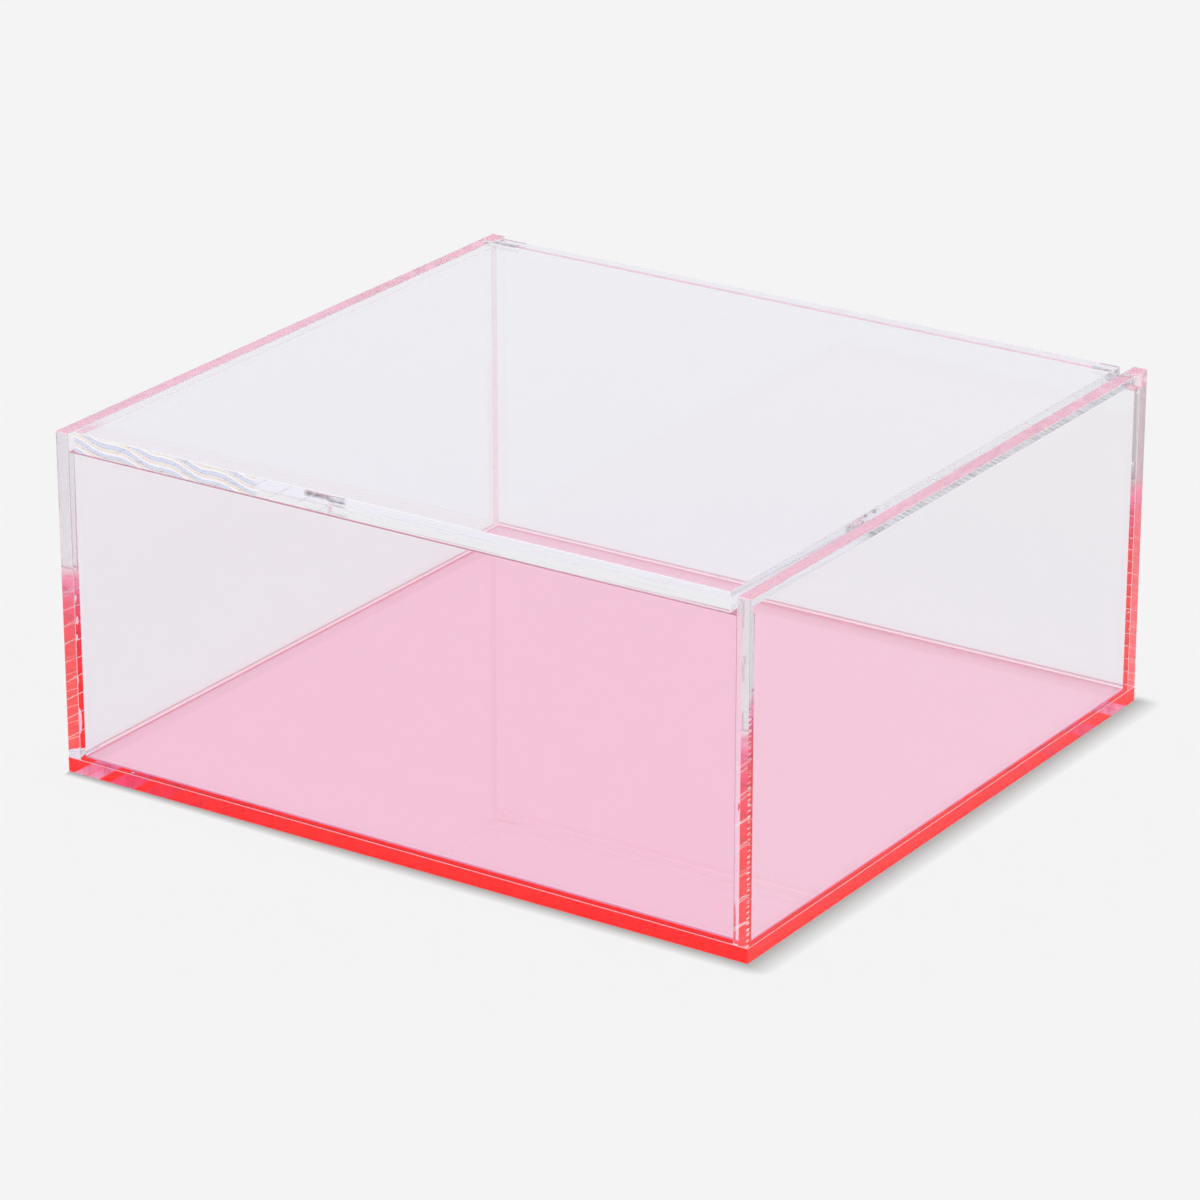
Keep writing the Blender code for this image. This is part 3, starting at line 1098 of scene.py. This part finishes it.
class ACRYLICBOX_OT_stage(bpy.types.Operator):
    """Set the floor, the surroundings and the camera"""

    bl_idname = "acrylic_box.stage"
    bl_label = "Stage"

    def execute(self, context):
        """Makes the pale studio."""
        look = context.scene.acrylic_box_stage
        self.make_floor(look)
        self.make_world(look)
        self.make_camera(look)
        context.scene.view_settings.view_transform = "Standard"
        light_paths = context.scene.cycles
        light_paths.blur_glossy = 0.0
        light_paths.max_bounces = SHEET_BOUNCES
        light_paths.transmission_bounces = SHEET_BOUNCES
        light_paths.glossy_bounces = SHEET_BOUNCES
        light_paths.transparent_max_bounces = SHEET_BOUNCES
        light_paths.diffuse_bounces = FLOOR_BOUNCES
        return {"FINISHED"}

    def make_floor(self, look):
        """A wide pale floor, which the camera sees at an even level but for the contact shade."""
        shape = bmesh.new()
        under = Matrix.Translation((0.0, 0.0, -look.air_film))
        bmesh.ops.create_grid(shape, x_segments=1, y_segments=1, size=FLOOR_REACH, matrix=under)
        floor = new_object("floor", shape)
        paint = bpy.data.materials.new("pale floor")
        nodes = Nodes(paint)
        shader = nodes.tree.nodes["Principled BSDF"]
        shader.inputs["Roughness"].default_value = 1.0
        shader.inputs["Specular IOR Level"].default_value = 0.0
        nodes.feed(look.floor_colour, shader.inputs["Base Color"])
        even = nodes.add("ShaderNodeEmission")
        shade = self.contact_shade(nodes, look)
        nodes.feed(nodes.mix(shade, look.floor_view, look.contact_colour), even.inputs["Color"])
        direct = nodes.add("ShaderNodeLightPath").outputs["Is Camera Ray"]
        seen = nodes.add("ShaderNodeMixShader")
        nodes.feed(nodes.times(direct, look.evenness), seen.inputs[0])
        nodes.feed(shader.outputs[0], seen.inputs[1])
        nodes.feed(even.outputs[0], seen.inputs[2])
        nodes.feed(seen.outputs[0], nodes.tree.nodes["Material Output"].inputs["Surface"])
        floor.data.materials.append(paint)

    def contact_shade(self, nodes, look):
        """1 at the foot of the base, and 0 out of reach of its contact shade."""
        low, high = cad_bounds
        reach_x, reach_y = look.contact_reach
        place = nodes.axes(nodes.place)
        right = nodes.maths("SUBTRACT", place["X"], high.x)
        left = nodes.scaled(place["X"], -look.left_narrowing, low.x * look.left_narrowing)
        off_x = nodes.larger(right, left)
        off_y = nodes.maths("SUBTRACT", nodes.maths("ABSOLUTE", place["Y"]), high.y)
        narrowing = nodes.scaled(nodes.ramp(place["X"], 0.0, low.x), look.front_narrowing, 1.0)
        off_y = nodes.times(off_y, narrowing)
        away = nodes.add("ShaderNodeCombineXYZ")
        nodes.feed(nodes.larger(nodes.maths("DIVIDE", off_x, reach_x), 0.0), away.inputs["X"])
        nodes.feed(nodes.larger(nodes.maths("DIVIDE", off_y, reach_y), 0.0), away.inputs["Y"])
        gap = nodes.vectors("LENGTH", away.outputs[0])
        return nodes.maths("SUBTRACT", 1.0, gap, clamp=True)

    def make_world(self, look):
        """Plain soft light, with the surroundings that each kind of ray meets."""
        world = bpy.data.worlds.new("studio")
        bpy.context.scene.world = world
        nodes = Nodes(world)
        path = nodes.add("ShaderNodeLightPath").outputs
        rise = nodes.axes(nodes.coordinates["Generated"])["Z"]
        pale = (look.backdrop,) * 3
        bright = (look.overhead,) * 3
        level = nodes.mix(nodes.ramp(rise, *THROUGH_RISE), pale, bright)
        mirrored = nodes.mix(nodes.ramp(rise, *MIRRORED_RISE), look.mirrored_sky, bright)
        rays = (("Is Glossy Ray", mirrored), ("Is Diffuse Ray", WHITE), ("Is Camera Ray", pale))
        for kind, colour in rays:
            level = nodes.mix(path[kind], level, colour)
        nodes.feed(level, nodes.tree.nodes["Background"].inputs["Color"])

    def make_camera(self, look):
        """The photograph's viewing angle."""
        camera_data = bpy.data.cameras.new("camera")
        camera_data.lens = look.lens
        camera_data.sensor_width = SENSOR_WIDTH
        camera_data.clip_end = CLIP_END
        camera = bpy.data.objects.new("camera", camera_data)
        bpy.context.scene.collection.objects.link(camera)
        turn = look.azimuth
        rise = look.elevation
        away = Vector((
            math.sin(turn) * math.cos(rise),
            -math.cos(turn) * math.cos(rise),
            math.sin(rise),
        ))
        camera.location = Vector(look.target) + away * look.distance
        camera.rotation_euler = away.to_track_quat("Z", "Y").to_euler()
        bpy.context.scene.camera = camera


class ACRYLICBOX_PT_panel(bpy.types.Panel):
    """Lists the steps in the order that they run."""

    bl_label = "Acrylic box"
    bl_idname = "ACRYLICBOX_PT_panel"
    bl_space_type = "VIEW_3D"
    bl_region_type = "UI"
    bl_category = "Acrylic box"

    def draw(self, context):
        """Draws one button for each step."""
        for operator in OPERATORS:
            self.layout.operator(operator.bl_idname)


OPERATORS = (
    ACRYLICBOX_OT_base,
    ACRYLICBOX_OT_side_walls,
    ACRYLICBOX_OT_panels,
    ACRYLICBOX_OT_lid,
    ACRYLICBOX_OT_pins,
    ACRYLICBOX_OT_stage,
)
GROUPS = (SheetSettings, AcrylicSettings, StageSettings)
CLASSES = GROUPS + OPERATORS + (ACRYLICBOX_PT_panel,)


def register():
    """Registers the classes and their settings."""
    for item in CLASSES:
        bpy.utils.register_class(item)
    bpy.types.Scene.acrylic_box_sheets = PointerProperty(type=SheetSettings)
    bpy.types.Scene.acrylic_box_acrylic = PointerProperty(type=AcrylicSettings)
    bpy.types.Scene.acrylic_box_stage = PointerProperty(type=StageSettings)


def unregister():
    """Takes the classes and their settings away."""
    del bpy.types.Scene.acrylic_box_stage
    del bpy.types.Scene.acrylic_box_acrylic
    del bpy.types.Scene.acrylic_box_sheets
    for item in reversed(CLASSES):
        bpy.utils.unregister_class(item)


def main():
    register()
    bpy.ops.acrylic_box.base()
    bpy.ops.acrylic_box.side_walls()
    bpy.ops.acrylic_box.panels()
    bpy.ops.acrylic_box.lid()
    bpy.ops.acrylic_box.pins()
    bpy.ops.acrylic_box.stage()


if __name__ == "__main__":
    main()
